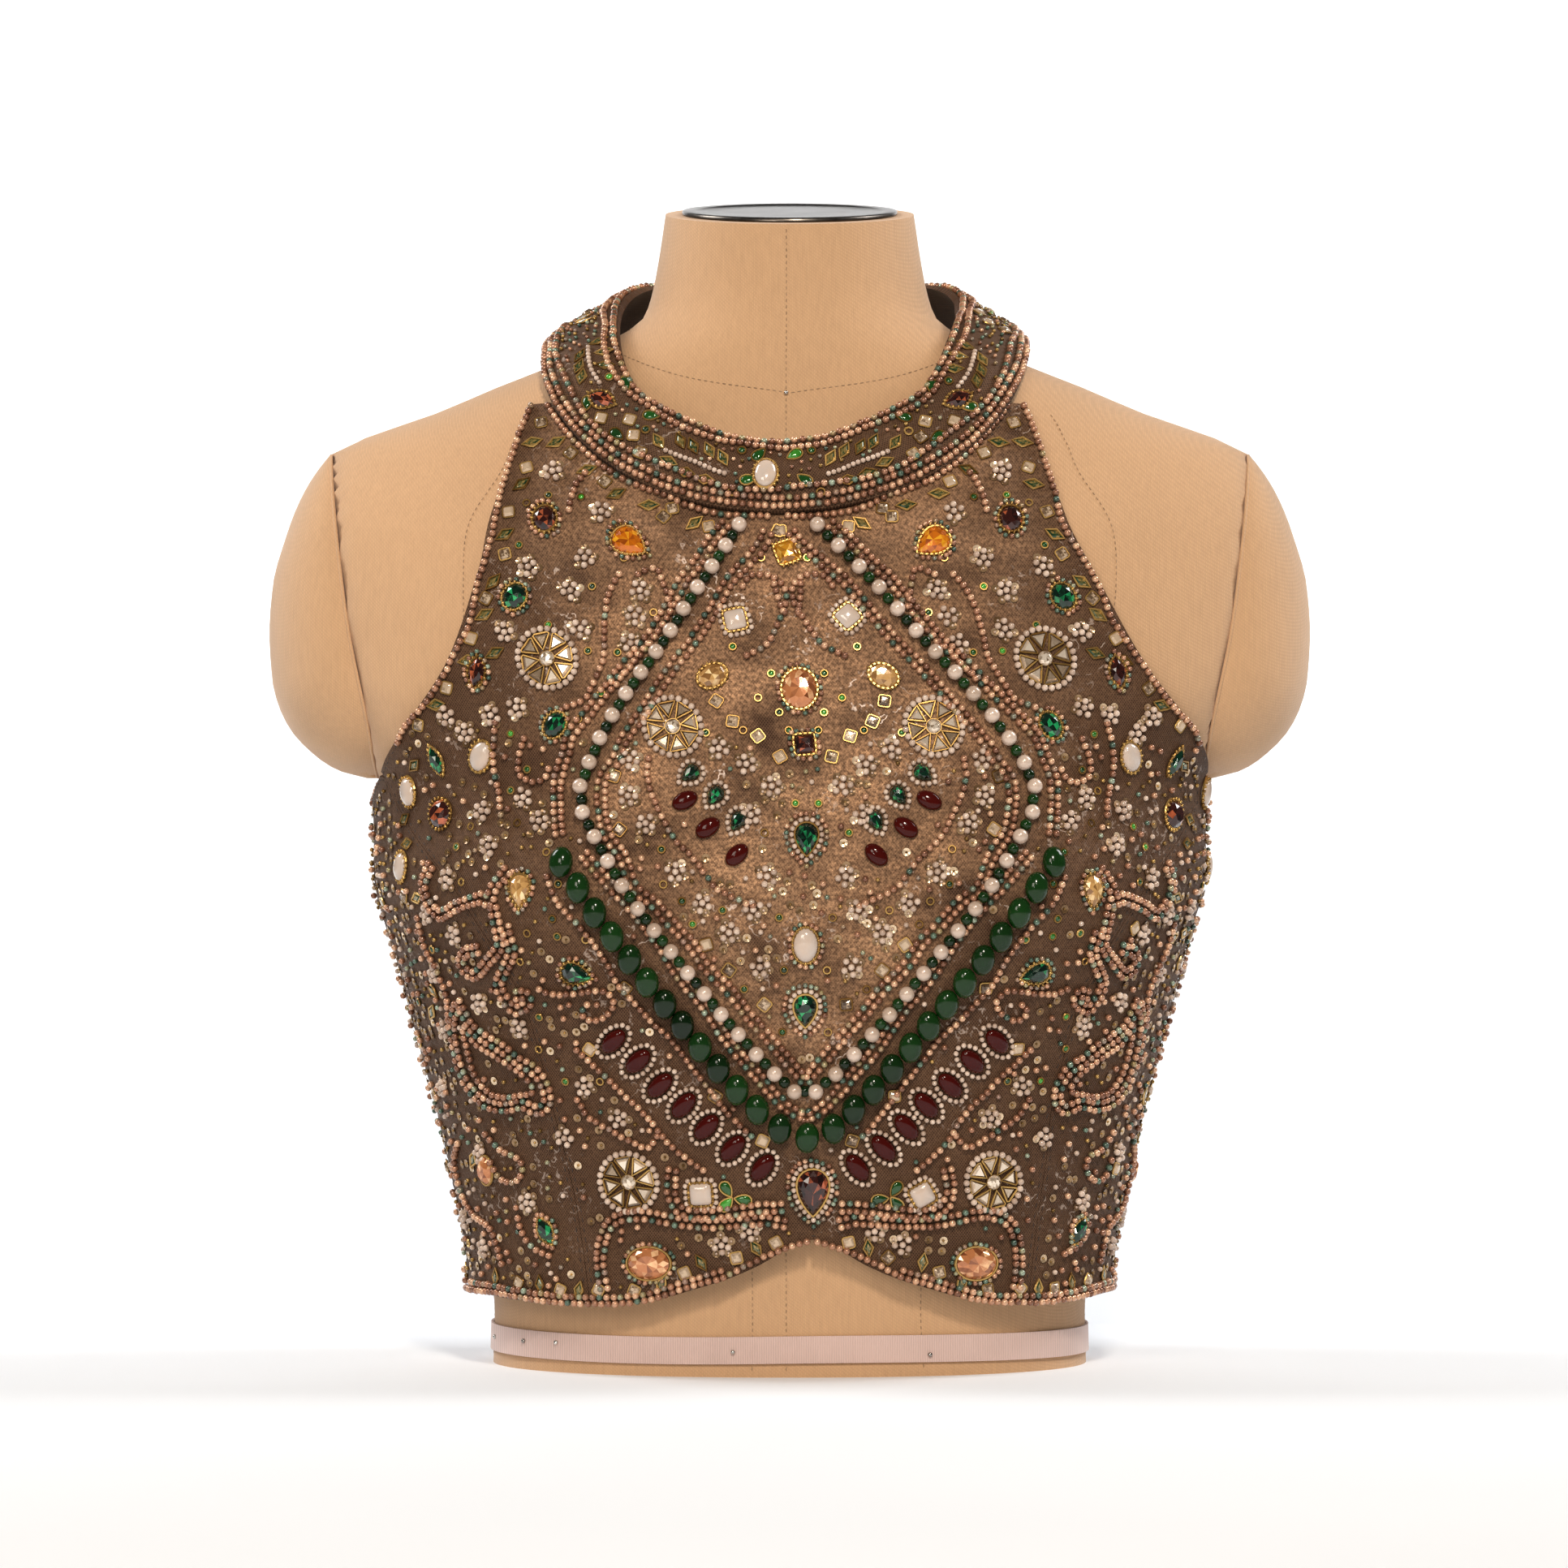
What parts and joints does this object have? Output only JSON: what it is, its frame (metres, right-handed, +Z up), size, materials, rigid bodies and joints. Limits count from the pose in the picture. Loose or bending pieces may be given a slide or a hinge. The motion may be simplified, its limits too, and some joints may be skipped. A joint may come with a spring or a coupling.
{
  "type": "halter choli blouse on dress form",
  "caption": "Sleeveless halter choli blouse with a band collar and raised jewelled motifs, dressed on a limbless waist-length linen dress form that stands on its flat base.",
  "frame": {"origin": "centre of the form's flat base, on the surface it stands on", "axes": "+Z up the form, the chest faces -Y, +X to the right of the picture"},
  "size_m": [0.436, 0.2552, 0.4882],
  "materials": {
    "cloth": "fine bronze net over a taupe ground, satin, with raised stones",
    "form_cover": "matte tan linen stretched over a stiff shell",
    "waist_tape": "matte pale twill tape",
    "neck_plate": "dark bronze, satin"
  },
  "bodies": {
    "root": {"front_panel": "cloth", "side_front_left": "cloth", "side_front_right": "cloth", "back_left": "cloth", "back_right": "cloth", "collar": "cloth", "back_placket": "cloth", "form_body": "form_cover", "form_arm_cap_left": "form_cover", "form_arm_cap_right": "form_cover", "form_neck_plate": "neck_plate", "form_waist_tape": "waist_tape"}
  },
  "joints": []
}
